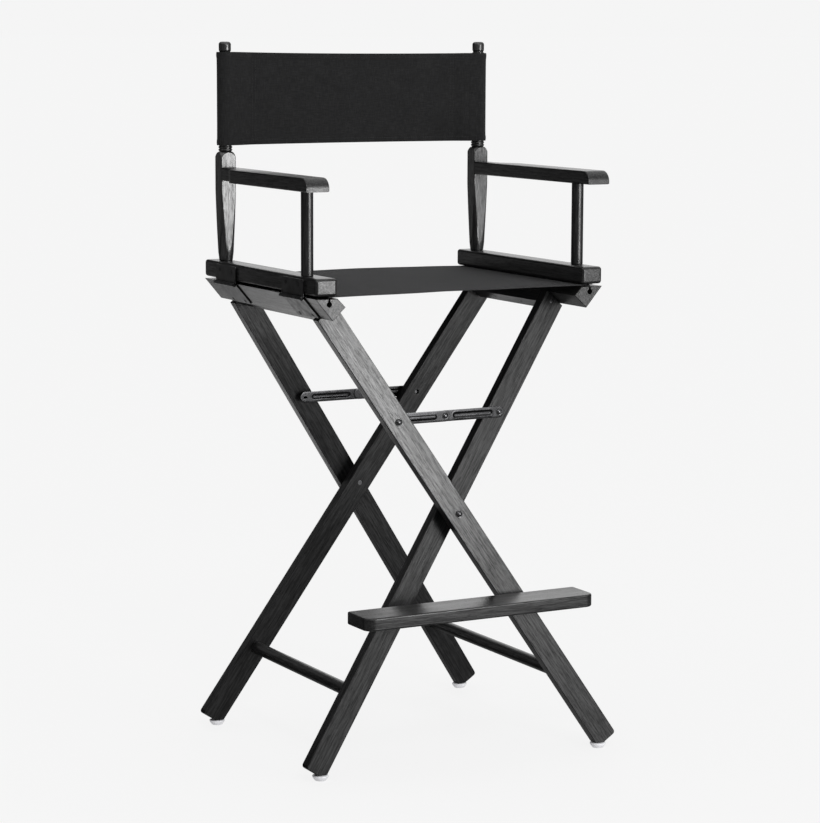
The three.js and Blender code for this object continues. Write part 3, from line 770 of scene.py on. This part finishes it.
def make_hinge(name, sign, upper_body, lower_body):
    """A butt hinge: two leaves with rounded corners and shared knuckles, a headed pin and four screws."""
    low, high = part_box(f"{name}_upper_leaf")
    pin_low, pin_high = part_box(f"{name}_pin")
    pin = (pin_low + pin_high) / 2
    length = high.y - low.y
    middle = (low.y + high.y) / 2
    knuckle = length / KNUCKLES
    gap = 0.15 * MM

    def leaf(node, body, start, stop, knuckles):
        """A plate between two points of the section, its far corners rounded, with its knuckles."""
        start, stop = Vector(start), Vector(stop)
        size = (stop - start).length
        across, up = length / 2 - LEAF_CORNER, size - LEAF_CORNER
        outline = [
            (-length / 2, 0), (length / 2, 0),
            *arc((across, up), LEAF_CORNER, 0, 90, 5), *arc((-across, up), LEAF_CORNER, 90, 180, 5),
        ]
        shells = [eased(prism("plate", outline, start, Y, (stop - start).normalized(), LEAF), 0.35 * MM, 2)]
        wide, ease = knuckle - 2 * gap, 0.3 * MM
        profile = [
            (HINGE_PIN + gap, 0), (HINGE_BARREL - ease, 0), (HINGE_BARREL, ease),
            (HINGE_BARREL, wide - ease), (HINGE_BARREL - ease, wide), (HINGE_PIN + gap, wide),
        ]
        for index in knuckles:
            base = (pin.x, low.y + index * knuckle + gap, pin.z)
            shells.append(turned("knuckle", profile, base, Y, 32, ring=True))
        fitting(together(f"{node}_fine", shells), node, body)

    x_upper = sign * (RAIL_OUTER[0] + LEAF_OFF_RAIL + LEAF / 2)
    upper_start = (x_upper, middle, pin.z + HINGE_BARREL * 0.75)
    leaf(f"{name}_upper_leaf", upper_body, upper_start, (x_upper, middle, high.z), [1, 3])

    top_corner = Vector((sign * RAIL_OUTER[0], middle, RAIL_OUTER[1]))
    bottom_corner = Vector((sign * RAIL_BOTTOM[0], middle, RAIL_BOTTOM[1]))
    slope = (bottom_corner - top_corner).normalized()
    away = slope.cross(Y) * sign
    section = top_corner + away * (LEAF_OFF_RAIL + LEAF / 2)
    reach = (bottom_corner - top_corner).length - 2 * MM
    lower_start = section + slope * 1.5 * MM
    leaf(f"{name}_lower_leaf", lower_body, lower_start, section + slope * reach, [0, 2, 4])

    half = (pin_high.y - pin_low.y) / 2
    ball = 0.7 * MM
    profile = [
        (0, -half), *arc((HINGE_PIN * 0.9, -half + ball), ball, -90, 0, 4),
        (HINGE_PIN, -half + 2 * ball), (HINGE_PIN, half - 2 * ball),
        *arc((HINGE_PIN * 0.9, half - ball), ball, 0, 90, 4), (0, half),
    ]
    fitting(turned(f"{name}_pin_fine", profile, pin, Y, 24), f"{name}_pin", upper_body)

    screw_height = 21.5 * MM  # above the pin
    screw_inset = 5.5 * MM  # from the lower leaf's free end
    for number, shift in ((1, -length * 0.3), (2, length * 0.3)):
        point = Vector((x_upper + sign * LEAF / 2, middle + shift, pin.z + screw_height))
        screw(f"{name}_upper_screw_{number}", upper_body, point, X * sign, HINGE_SCREW, BLACK_STEEL)
        point = section + away * (LEAF / 2) + slope * (reach - screw_inset) + Y * shift
        screw(f"{name}_lower_screw_{number}", lower_body, point, away, HINGE_SCREW, BLACK_STEEL)


def make_leg_screws():
    """Screws through the top of each leg into its cleat, and up through each cleat into its rail."""
    chair_middle = (SEAT_LOW.y + SEAT_HIGH.y) / 2
    for side, sign, body in SIDES:
        low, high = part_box(f"{side}_cleat")
        centre = (low + high) / 2
        depth = FRAME_DEPTH[body] - SPLAY * (centre.z - PIVOT_HEIGHT) / math.cos(LEG_ANGLE)
        for end, face in ENDS:
            outward = Vector((0, face, SPLAY)).normalized()
            point = Vector((centre.x, chair_middle + face * depth, centre.z))
            screw(f"{body}_{end}_leg_screw", f"{body}_leg_frame", point, outward, LEG_SCREW)
        across = Vector((sign * (RAIL_BOTTOM[0] - RAIL_INNER[0]), 0, RAIL_BOTTOM[1] - RAIL_INNER[1]))
        under = across.normalized().cross(Y) * -sign
        for number, share in ((1, 0.3), (2, 0.7)):
            point = Vector((centre.x, low.y + (high.y - low.y) * share, centre.z)) + under * CLEAT_HALF
            screw(f"{side}_cleat_screw_{number}", f"{body}_leg_frame", point, under, CLEAT_SCREW)


def link_relief(distance, raised):
    """Height of a link's pressing at a distance from its middle line: a raised bead or a sunk channel."""
    if raised:
        return 1.8 * MM * (1 - eased_step((distance - 1.4 * MM) / (3.2 * MM)))
    channel = -2 * MM * (1 - eased_step((distance - 1.6 * MM) / (3.6 * MM)))
    lip = 0.2 * MM * math.exp(-(((distance - 5.5 * MM) / (0.9 * MM)) ** 2))
    return channel + lip


LINK_FLAT_OUTER = 17 * MM  # from the rivet at the leg to where the pressing starts
LINK_FLAT_MIDDLE = 20 * MM  # from the middle rivet to where it ends
LINK_RIM = 0.25 * MM  # rounding of a link's edges


def make_link(node, body, side, rivet_x, middle_x):
    """A link: a strip with round ends, with a bead or a channel pressed in between its flat ends."""
    low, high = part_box(node)
    z = (low.z + high.z) / 2
    radius = (high.z - low.z) / 2
    y = (low.y + high.y) / 2
    half_thick = (high.y - low.y) / 2
    span = abs(middle_x - rivet_x)
    direction = 1 if middle_x > rivet_x else -1
    columns, rows = 150, 28
    fronts, backs = [], []
    for i in range(columns + 1):
        s = -radius + (span + 2 * radius) * (1 - math.cos(math.pi * i / columns)) / 2
        half = math.sqrt(max(0, radius**2 - max(0, -s, s - span) ** 2))
        inner = 0 < i < columns
        off = max(LINK_FLAT_OUTER - s, s - (span - LINK_FLAT_MIDDLE), 0)
        for j in range(rows + 1):
            t = 2 * j / rows - 1
            relief = link_relief(math.hypot(off, half * t), direction > 0) if inner else 0
            edge = half_thick - LINK_RIM * (abs(t) ** 8 if inner else 1)
            x = rivet_x + direction * s
            fronts.append((x, y + side * (relief + edge), z + half * t))
            backs.append((x, y + side * (relief - edge), z + half * t))
    strip = solid(f"{node}_fine", fronts + backs, shell_faces(columns, rows, ends=False))
    fitting(faced_out(strip, 0.001 * MM), node, body, LINK_STEEL, angle=50)


def make_braces():
    for end, side in ENDS:
        low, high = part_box(f"{end}_brace_left_link")
        radius = (high.z - low.z) / 2
        make_link(f"{end}_brace_left_link", f"{end}_left_link", side, low.x + radius, 0)
        make_link(f"{end}_brace_right_link", f"{end}_right_link", side, -low.x - radius, 0)


FOOTREST_PLATE = 2.8 * MM  # thickness of the metal under the board


def make_footrest_fittings():
    board_low, board_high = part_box("footrest_board")
    for node in ("footrest_hinge_bracket", "footrest_rest_plate"):
        fitting(eased(copied(node), 0.5 * MM), node, "footrest")
        low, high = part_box(node)
        y = low.y + (board_high.y - low.y) * 0.4
        for number, share in ((1, 0.25), (2, 0.75)):
            point = Vector((low.x + (high.x - low.x) * share, y, board_low.z - FOOTREST_PLATE))
            screw(f"{node}_screw_{number}", "footrest", point, -Z, HINGE_SCREW)


GLIDE_SOLE = 8.4 * MM  # radius of the face on the floor


def make_glide(node, body):
    low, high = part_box(node)
    radius = (high.x - low.x) / 2
    height = high.z - low.z
    profile = [
        (0, 0), (GLIDE_SOLE - 0.4 * MM, 0), *arc((GLIDE_SOLE, 0.6 * MM), 0.6 * MM, -90, -40, 3),
        (radius - 1.6 * MM, height * 0.38), (radius - 0.5 * MM, height * 0.55),
        *arc((radius - 1.4 * MM, height - 1.9 * MM), 1.4 * MM, 0, 75, 6), (0, height),
    ]
    centre = (low + high) / 2
    glide = turned(f"{node}_fine", profile, (centre.x, centre.y, low.z), Z, 48)
    fitting(glide, node, body, NYLON)


def make_glides():
    for side, body in (("right", "outer"), ("left", "inner")):
        for end, _ in ENDS:
            make_glide(f"{end}_{side}_glide", f"{body}_leg_frame")


# ---------- cloth ----------
def cloth(name, columns, rows, place, thickness):
    """A thin closed sheet. place(u, v) gives a point and the cloth's normal for shares of its two
    directions, thickness(v) the cloth's thickness there. UVs are in metres."""
    fronts, backs = [], []
    for i in range(columns + 1):
        for j in range(rows + 1):
            u, v = i / columns, j / rows
            point, normal = place(u, v)
            border = i in (0, columns) or j in (0, rows)
            half = thickness(v) * (0.2 if border else 0.5)
            fronts.append(point + normal * half)
            backs.append(point - normal * half)
    across = rows + 1
    run = [0.0]
    middle = rows // 2
    for i in range(columns):
        run.append(run[-1] + (fronts[(i + 1) * across + middle] - fronts[i * across + middle]).length)
    rise = [0.0]
    for j in range(rows):
        rise.append(rise[-1] + (fronts[j + 1] - fronts[j]).length)
    piece = solid(name, fronts + backs, shell_faces(columns, rows))
    layer = piece.data.uv_layers.new(name="UVMap")
    for loop in piece.data.loops:
        i, j = divmod(loop.vertex_index % len(fronts), across)
        layer.data[loop.index].uv = (run[i], rise[j])
    return piece


STITCH_RINGS = ((0, 0.35), (0.2, 1), (0.8, 1), (1, 0.35))  # share of a stitch's length, share of its radius


def stitches(name, lines):
    """Rows of small capsule stitches. Each line is (place, count) with place(share) giving a point and
    the cloth's normal there."""
    points, faces = [], []
    sides = 6
    for place, count in lines:
        for k in range(count):
            start, normal = place((k + 0.14) / count)
            stop, _ = place((k + 0.86) / count)
            along = (stop - start).normalized()
            side = along.cross(normal).normalized()
            faces += tube_faces(len(STITCH_RINGS), sides, len(points))
            for share, size in STITCH_RINGS:
                sunk = THREAD * (1.25 - abs(2 * share - 1)) * 0.6
                centre = start.lerp(stop, share) + normal * (sunk - THREAD * 0.4)
                for m in range(sides):
                    angle = math.tau * m / sides
                    ring = side * math.cos(angle) + normal * math.sin(angle)
                    points.append(centre + ring * (THREAD * size))
    return smooth(solid(name, points, faces), 80)


def rumple(point, size, height, seed):
    """Soft, slow waves in cloth."""
    return height * noise.noise(Vector((point.x / size + seed, point.y / size, point.z / size)))


def hem_swell(distance, width):
    """Share of a hem's extra thickness at a distance from the cloth's edge."""
    return 1 - eased_step((distance - width) / (1.5 * MM))


POCKET_SEAM = 46.4 * MM  # from the post's axis inwards to the pocket's seam
SLEEVE_END = 22 * MM  # from the post's axis inwards to where the sleeve's piece ends
SLEEVE_RADIUS = 13 * MM
POCKET_TURN = math.acos(SLEEVE_RADIUS / POCKET_SEAM)  # where the pocket's cloth leaves the round of the post
POCKET_START = SLEEVE_RADIUS * math.cos(POCKET_TURN)  # the same place, from the post's axis inwards
BACK_REACH = POST_X - SLEEVE_END  # half width of the panel
BACK_SEAM = POST_X - POCKET_SEAM  # from the middle to a pocket's seam
BACK_HEM = 9 * MM
BACK_HEIGHT = BACK_HIGH.z - BACK_LOW.z
PANEL_HALF = 0.75 * MM  # from the panel's middle to the middle of each of its layers


def pocket_offset(x):
    """Distance of the cloth from the canvas's middle plane, at a distance x from the chair's middle."""
    inward = POST_X - abs(x)
    if inward >= POCKET_SEAM:
        return PANEL_HALF
    if inward > POCKET_START:
        share = (POCKET_SEAM - inward) / (POCKET_SEAM - POCKET_START)
        soft = share + 0.1 * math.sin(math.pi * share) * (1 - share)
        return PANEL_HALF + (SLEEVE_RADIUS * math.sin(POCKET_TURN) - PANEL_HALF) * soft
    return math.sqrt(max(0, SLEEVE_RADIUS**2 - inward**2))


def back_wave(x, z):
    """The panel's own slight billow and rumples, none at the posts."""
    share = x / POST_X
    calm = max(0, 1 - share * share)
    flat = Vector((x, 0, z))
    return calm * (2.2 * MM + rumple(flat, 0.09, 0.9 * MM, 3.1) + rumple(flat, 0.03, 0.25 * MM, 7.7))


def back_point(x, z, layer):
    """A point on the canvas's front (layer -1) or back (layer 1) cloth."""
    return Vector((x, POST_Y + layer * pocket_offset(x) + back_wave(x, z), z))


def back_edge(u, v):
    """Height on the back canvas: drawn in slightly between the posts, and ridden up at the top left."""
    bow = 0.8 * MM * (1 - (2 * u - 1) ** 2)
    ride_up = 2.2 * MM * (1 - u) ** 3 * v
    return BACK_LOW.z + BACK_HEIGHT * v + ride_up - bow * (2 * v - 1)


def back_thickness(v):
    return CLOTH + 2 * HEM * hem_swell(min(v, 1 - v) * BACK_HEIGHT, BACK_HEM)


def normal_of(place, u, v, step=0.002):
    along = place(u + step, v) - place(u - step, v)
    up = place(u, v + step) - place(u, v - step)
    return along.cross(up).normalized()


def back_layer(name, columns, start, stop, layer):
    """The panel's cloth between two distances from the middle, on its front (-1) or its back (1)."""
    def place(u, v):
        x = start + (stop - start) * u
        return back_point(x, back_edge((x + BACK_REACH) / (2 * BACK_REACH), v), layer)

    return cloth(name, columns, 44, lambda u, v: (place(u, v), normal_of(place, u, v)), back_thickness)


def make_back_panel():
    return together("back_canvas_panel", [
        back_layer("front_layer", 120, -BACK_REACH, BACK_REACH, -1),
        back_layer("rear_layer", 80, -BACK_SEAM, BACK_SEAM, 1),
        back_layer("left_pocket", 12, -BACK_REACH, -BACK_SEAM, 1),
        back_layer("right_pocket", 12, BACK_SEAM, BACK_REACH, 1),
    ])


def make_sleeve(side, sign):
    """The end of a pocket, wrapped round the outside of its post."""
    straight = SLEEVE_END - POCKET_START
    total = 2 * straight + SLEEVE_RADIUS * 2 * (math.pi - POCKET_TURN)

    def place(u, v):
        s = total * min(max(u, 0), 1)
        z = back_edge(0 if sign < 0 else 1, v)
        if straight <= s <= total - straight:
            angle = POCKET_TURN + (s - straight) / SLEEVE_RADIUS
            radius = SLEEVE_RADIUS + 0.4 * MM * (2 * v - 1) ** 6  # flared at its top and bottom
            x = POST_X - radius * math.cos(angle)
            return Vector((sign * x, POST_Y - radius * math.sin(angle), z))
        layer = -1 if s < straight else 1
        inward = SLEEVE_END - s if s < straight else SLEEVE_END - (total - s)
        x = sign * (POST_X - inward)
        return back_point(x, z, layer)

    def framed(u, v):
        step = 0.004
        along = place(u + step, v) - place(u - step, v)
        normal = along.cross(Z).normalized() * sign
        return place(u, v), normal

    return cloth(f"back_canvas_{side}_sleeve", 60, 44, framed, back_thickness)


def fold_down(piece, start, end):
    """Gives the piece a mesh of its own."""
    start, end = Vector(start), Vector(end)
    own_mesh(piece)


def make_back_canvas():
    panel = make_back_panel()
    smooth(finished(panel, BACK_CLOTH, "left_arm_frame", ["back_canvas"]), 60)
    for side, sign, _ in SIDES:
        sleeve = make_sleeve(side, sign)
        smooth(finished(sleeve, BACK_CLOTH, f"{side}_arm_frame"), 60)

    def on_front(u, v, lift):
        x = -BACK_REACH + 2 * BACK_REACH * u
        return back_point(x, back_edge(u, v), -1) - Y * lift, -Y

    def upright(x):
        u = (x + BACK_REACH) / (2 * BACK_REACH)
        return lambda share: on_front(u, 0.02 + 0.96 * share, CLOTH / 2)

    def level(v):
        return lambda share: on_front(share, v, CLOTH / 2 + HEM)

    rows_in = [BACK_SEAM - 3 * MM, BACK_SEAM - 9 * MM]
    lines = [(upright(sign * x), int(BACK_HEIGHT / STITCH_PITCH)) for sign in (-1, 1) for x in rows_in]
    lines += [(level(v), int(2 * BACK_REACH / STITCH_PITCH)) for v in (0.048, 0.952)]
    sewing = stitches("back_canvas_stitches", lines)
    finished(sewing, THREAD_BLACK, "left_arm_frame")

    for piece in (panel, sewing):
        start = (-BACK_REACH, POST_Y, BACK_LOW.z)
        end = (BACK_REACH, POST_Y, BACK_LOW.z)
        fold_down(piece, start, end)


SEAT_CROWN = (0.5 * MM, 2.5 * MM)  # the taut cloth's rise at its front edge, and what its rear edge adds
SEAT_FREE = 221 * MM  # from the middle to where the cloth meets a rail
SEAT_NOTCH = 13 * MM  # how far the cloth in the grooves stops short of the seat's edges
SEAT_HEM = 17 * MM
GROOVE_X = 237 * MM
GROOVE_Z = 756 * MM
LOOP_RADIUS = 3.9 * MM
SEAT_BEND = 2.2 * MM  # radius of the cloth's bend over a rail's edge
SEAT_RISE_X = GROOVE_X - 0.3 * MM  # where the cloth rises out of its groove
SEAT_TOP = SEAT_HIGH.z - 0.7 * MM
SEAT_DEPTH = SEAT_HIGH.y - SEAT_LOW.y


def seat_path(u):
    """The seat cloth's section from the left groove to the right one, for a share of its run: x, z and
    how far inside a groove it is, from 0 to 1."""
    mirrored = 1 if u > 0.5 else -1
    s = 1 - abs(2 * u - 1)  # 0 at a groove, 1 in the middle
    loop, rise, bend = 0.06, 0.085, 0.1  # shares of half the run where each stretch ends
    if s < loop:
        angle = math.radians(-60 - 205 * s / loop)
        x = GROOVE_X + LOOP_RADIUS * math.cos(angle)
        z = GROOVE_Z + LOOP_RADIUS * math.sin(angle)
    elif s < rise:
        share = (s - loop) / (rise - loop)
        x = SEAT_RISE_X
        z = GROOVE_Z + LOOP_RADIUS + (SEAT_TOP - SEAT_BEND - GROOVE_Z - LOOP_RADIUS) * share
    elif s < bend:
        angle = math.radians(90 * (s - rise) / (bend - rise))
        x = SEAT_RISE_X - SEAT_BEND * (1 - math.cos(angle))
        z = SEAT_TOP - SEAT_BEND * (1 - math.sin(angle))
    else:
        share = (s - bend) / (1 - bend)
        x = (SEAT_RISE_X - SEAT_BEND) * (1 - share)
        z = SEAT_TOP
    inside = 1 - eased_step((s - loop) / (rise - loop))
    return mirrored * x, z, inside


def seat_place(u, v):
    x, z, inside = seat_path(u)
    notch = SEAT_NOTCH * inside
    y = SEAT_LOW.y + notch + (SEAT_DEPTH - 2 * notch) * v
    free = max(0, 1 - (x / SEAT_FREE) ** 2)
    crown = free * (SEAT_CROWN[0] + SEAT_CROWN[1] * v * v)
    curve_in = 1.5 * MM * free * (1 - 2 * v)
    flat = Vector((x, y, 0))
    ripple = free * (rumple(flat, 0.11, 0.7 * MM, 1.3) + rumple(flat, 0.035, 0.2 * MM, 5.9))
    return Vector((x, y + curve_in, z + crown + ripple))


def seat_thickness(v):
    return CLOTH + HEM * hem_swell(min(v, 1 - v) * SEAT_DEPTH, SEAT_HEM)


def make_seat_canvas():
    def framed(u, v):
        step = 0.0015
        a = seat_place(max(u - step, 0), v)
        b = seat_place(min(u + step, 1), v)
        return seat_place(u, v), (b - a).cross(Y).normalized()

    seat = cloth("seat_canvas_cloth", 240, 60, framed, seat_thickness)
    smooth(finished(seat, SEAT_CLOTH_PAINTED_LIGHTER, "outer_leg_frame", ["seat_canvas"]), 60)

    def across(v):
        return lambda share: (seat_place(0.07 + 0.86 * share, v) + Z * (CLOTH + HEM) / 2, Z)

    count = int(2 * GROOVE_X / STITCH_PITCH)
    inset = (SEAT_HEM - 3 * MM) / SEAT_DEPTH
    sewing = stitches("seat_canvas_stitches", [(across(v), count) for v in (inset, 1 - inset)])
    finished(sewing, THREAD_BLACK, "outer_leg_frame")
    for piece in (seat, sewing):
        start = (-GROOVE_X, 0, GROOVE_Z)
        end = (GROOVE_X, 0, GROOVE_Z)
        fold_down(piece, start, end)


# ---------- stage ----------
PALE = 0.913  # radiance of the background, as the camera sees it
FLOOR_GLOW = 0.95  # with the light the matt share throws back, the floor comes to the background's tone
FLOOR_MATT = 0.12  # the floor's matt share, which takes the shadows
CAMERA_PLACE = Vector((-2.107, -3.8806, 1.176))
CAMERA_YAW = math.radians(28.55)
CAMERA_PITCH = math.radians(-8.05)
CAMERA_ROLL = math.radians(0.21)
FOCAL_SHARE = 3.27825  # focal length over the picture's longer side
SENSOR = 36.0
FLOOR_HALF = 400  # half the floor's side, in metres


def make_camera():
    data = bpy.data.cameras.new("camera")
    data.sensor_width = SENSOR
    data.lens = SENSOR * FOCAL_SHARE
    camera = bpy.data.objects.new("camera", data)
    forward = Vector((
        math.sin(CAMERA_YAW) * math.cos(CAMERA_PITCH),
        math.cos(CAMERA_YAW) * math.cos(CAMERA_PITCH),
        math.sin(CAMERA_PITCH),
    ))
    right = forward.cross(Z).normalized()
    up = right.cross(forward)
    turned_right = right * math.cos(CAMERA_ROLL) + up * math.sin(CAMERA_ROLL)
    turned_up = turned_right.cross(forward)
    basis = Matrix((turned_right, turned_up, -forward)).transposed()
    camera.matrix_world = Matrix.Translation(CAMERA_PLACE) @ basis.to_4x4()
    bpy.context.scene.collection.objects.link(camera)
    bpy.context.scene.camera = camera


def make_floor():
    corners = [(x, y, 0) for x, y in rectangle(FLOOR_HALF, FLOOR_HALF)]
    floor = solid("floor", corners, [[0, 1, 2, 3]])
    material = bpy.data.materials.new("pale_floor")
    material.use_nodes = True
    tree = material.node_tree
    tree.nodes.clear()
    glow = shader(tree, "ShaderNodeEmission", {"Color": (1, 1, 1, 1), "Strength": FLOOR_GLOW})
    matt = shader(tree, "ShaderNodeBsdfDiffuse", {"Color": (0.8, 0.8, 0.8, 1)})
    both = shader(tree, "ShaderNodeMixShader", {0: FLOOR_MATT, 1: glow.outputs[0], 2: matt.outputs[0]})
    shader(tree, "ShaderNodeOutputMaterial", {"Surface": both.outputs[0]})
    floor.data.materials.append(material)
    floor.visible_glossy = False
    return floor


# soft boxes of the studio: direction they stand in, half angle in degrees, softness in degrees, strength
SOFT_BOXES = [
    ((0.47, -0.87, 0.1), 13, 13, 1.35),
    ((0.46, 0.87, 0.12), 14, 16, 1.1),
    ((0, 0, 1), 35, 35, 1.0),
]
BLACK_CARDS = [((-0.42, 0.88, 0.08), 28, 22)]  # the same, without a strength
AMBIENT_UP = 0.16  # radiance from above the horizon
AMBIENT_DOWN = 0.22  # and from below it

# lamps: place, point they face, width and height, radiance
LAMPS = {
    "low_strip": ((0.72, -2.0, 0.5), POST_LOW, (0.4, 0.4), 15),
    "high_strip": ((0.72, -2.0, 0.95), POST_LOW, (0.4, 0.5), 26),
    "key": ((-0.6, -2.6, 2.6), (cad_low + cad_high) / 2, (0.5, 0.5), 22),
    "rear_fill": ((-0.66, 1.74, 0.75), (0.25, 0, 0.8), (0.4, 0.9), 0.38),
    "ground": ((-0.15, 1.35, 0.01), (-0.15, 1.35, 1), (1.1, 0.6), 1.2),
}


def make_world():
    """A studio made of light: soft boxes and a black card by direction, over a pale ground."""
    world = bpy.data.worlds.new("studio")
    bpy.context.scene.world = world
    world.use_nodes = True
    tree = world.node_tree
    tree.nodes.clear()
    direction = shader(tree, "ShaderNodeTexCoord", {}).outputs["Generated"]

    def cone(toward, inside, softness):
        axes = {0: direction, 1: Vector(toward).normalized()}
        dot = shader(tree, "ShaderNodeVectorMath", axes, operation="DOT_PRODUCT").outputs["Value"]
        edge = math.cos(math.radians(inside + softness))
        full = math.cos(math.radians(inside))
        return spread(tree, dot, edge, full, interpolation_type="SMOOTHSTEP")

    height = shader(tree, "ShaderNodeSeparateXYZ", {"Vector": direction}).outputs["Z"]
    level = spread(tree, height, -0.12, 0.05, AMBIENT_DOWN, AMBIENT_UP)
    for toward, inside, softness, strength in SOFT_BOXES:
        level = weighed(tree, (level, 1), (cone(toward, inside, softness), strength))
    for toward, inside, softness in BLACK_CARDS:
        open_share = calculated(tree, "SUBTRACT", 1, cone(toward, inside, softness))
        level = calculated(tree, "MULTIPLY", level, open_share)
    seen = shader(tree, "ShaderNodeLightPath", {}).outputs["Is Camera Ray"]
    strength = shader(tree, "ShaderNodeMix", {"Factor": seen, "A": level, "B": PALE}).outputs["Result"]
    background = shader(tree, "ShaderNodeBackground", {"Color": (1, 1, 1, 1), "Strength": strength})
    shader(tree, "ShaderNodeOutputWorld", {"Surface": background.outputs[0]})


def make_light(name, place, target, size, glow):
    """A rectangular light of a given radiance, seen by the chair but not by the camera."""
    data = bpy.data.lights.new(name, "AREA")
    data.shape = "RECTANGLE"
    data.size, data.size_y = size
    data.energy = glow * math.pi * size[0] * size[1]
    lamp = bpy.data.objects.new(name, data)
    lamp.location = place
    lamp.rotation_euler = (Vector(target) - Vector(place)).to_track_quat("-Z", "Y").to_euler()
    lamp.visible_camera = False
    bpy.context.scene.collection.objects.link(lamp)
    return lamp


def spare(lamp, piece):
    """Keeps a lamp's light off one piece."""
    spared = bpy.data.collections.new(f"{lamp.name}_spares")
    spared.objects.link(piece)
    spared.collection_objects[0].light_linking.link_state = "EXCLUDE"
    lamp.light_linking.receiver_collection = spared


def make_lights(floor):
    for name, (place, target, size, glow) in LAMPS.items():
        lamp = make_light(name, place, target, size, glow)
        if name.endswith("strip"):
            spare(lamp, floor)


make_camera()
studio_floor = make_floor()
make_world()
make_lights(studio_floor)
make_legs()
make_stretchers()
make_lower_rails()
make_upper_rails()
make_back_posts()
make_front_posts()
make_armrests()
make_footrest_board()
make_pins()
make_hinges()
make_leg_screws()
make_braces()
make_footrest_fittings()
make_glides()
make_seat_canvas()
make_back_canvas()

bpy.context.scene.view_settings.view_transform = "Standard"
